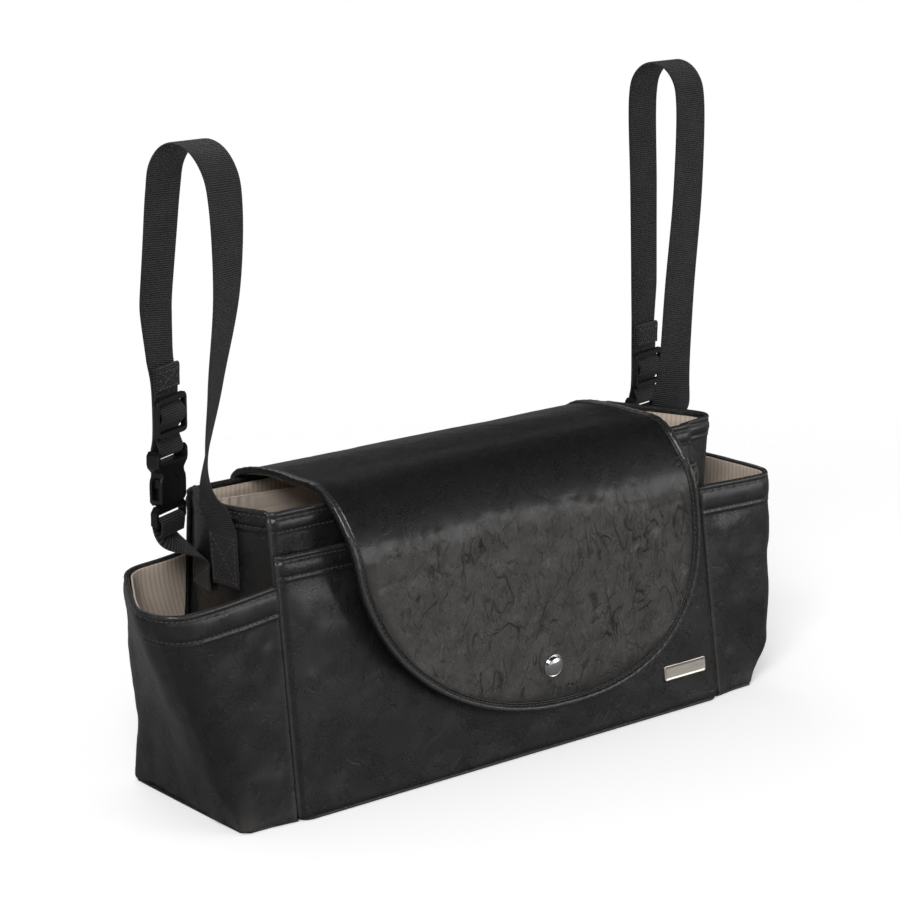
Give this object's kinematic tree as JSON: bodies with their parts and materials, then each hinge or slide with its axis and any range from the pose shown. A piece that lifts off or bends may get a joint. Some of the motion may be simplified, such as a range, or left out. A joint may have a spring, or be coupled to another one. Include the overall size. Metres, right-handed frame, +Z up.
{
  "type": "stroller organizer",
  "caption": "Soft leather-look stroller organizer with a rounded flap, snap, open end pockets and two buckled webbing straps.",
  "frame": {"origin": "centre of the main bag's flat base, on the floor", "axes": "+X along the bag to its right end seen from the front, +Y to the back, +Z up"},
  "size_m": [0.493, 0.1367, 0.415],
  "materials": {
    "black_leather": "semi-gloss grained",
    "beige_lining": "satin",
    "black_webbing": "matte woven",
    "black_plastic": "satin",
    "chrome": "polished",
    "satin_metal": "satin"
  },
  "bodies": {
    "bag": {"front_panel": "black_leather", "back_panel": "black_leather", "bottom_panel": "black_leather", "left_gusset": "black_leather", "right_gusset": "black_leather", "front_slip_pocket": "black_leather", "left_pocket_base": "black_leather", "right_pocket_base": "black_leather", "left_end_pocket": "black_leather", "right_end_pocket": "black_leather", "flap": "black_leather", "flap_binding": "black_leather", "main_lining": "beige_lining", "left_pocket_lining": "beige_lining", "right_pocket_lining": "beige_lining", "elastic_inner_pocket": "beige_lining", "flat_inner_pocket": "beige_lining", "left_strap_loop": "black_webbing", "left_anchor_tab": "black_webbing", "right_strap_loop": "black_webbing", "right_anchor_tab": "black_webbing", "left_buckle_tongue": "black_plastic", "right_buckle_tongue": "black_plastic", "snap_cap": "chrome", "snap_socket": "chrome", "snap_stud": "chrome", "name_plate": "satin_metal"},
    "left_buckle": {"left_buckle_socket": "black_plastic", "left_slider": "black_plastic", "left_strap_end": "black_webbing"},
    "right_buckle": {"right_buckle_socket": "black_plastic", "right_slider": "black_plastic", "right_strap_end": "black_webbing"}
  },
  "joints": [
    {"name": "left_buckle_release", "type": "slide", "parent": "bag", "child": "left_buckle", "axis": [0, 0, 1], "range_m": [0, 0.024], "deforming": ["left_strap_end"]},
    {"name": "right_buckle_release", "type": "slide", "parent": "bag", "child": "right_buckle", "axis": [0, 0, 1], "range_m": [0, 0.024], "deforming": ["right_strap_end"]}
  ]
}
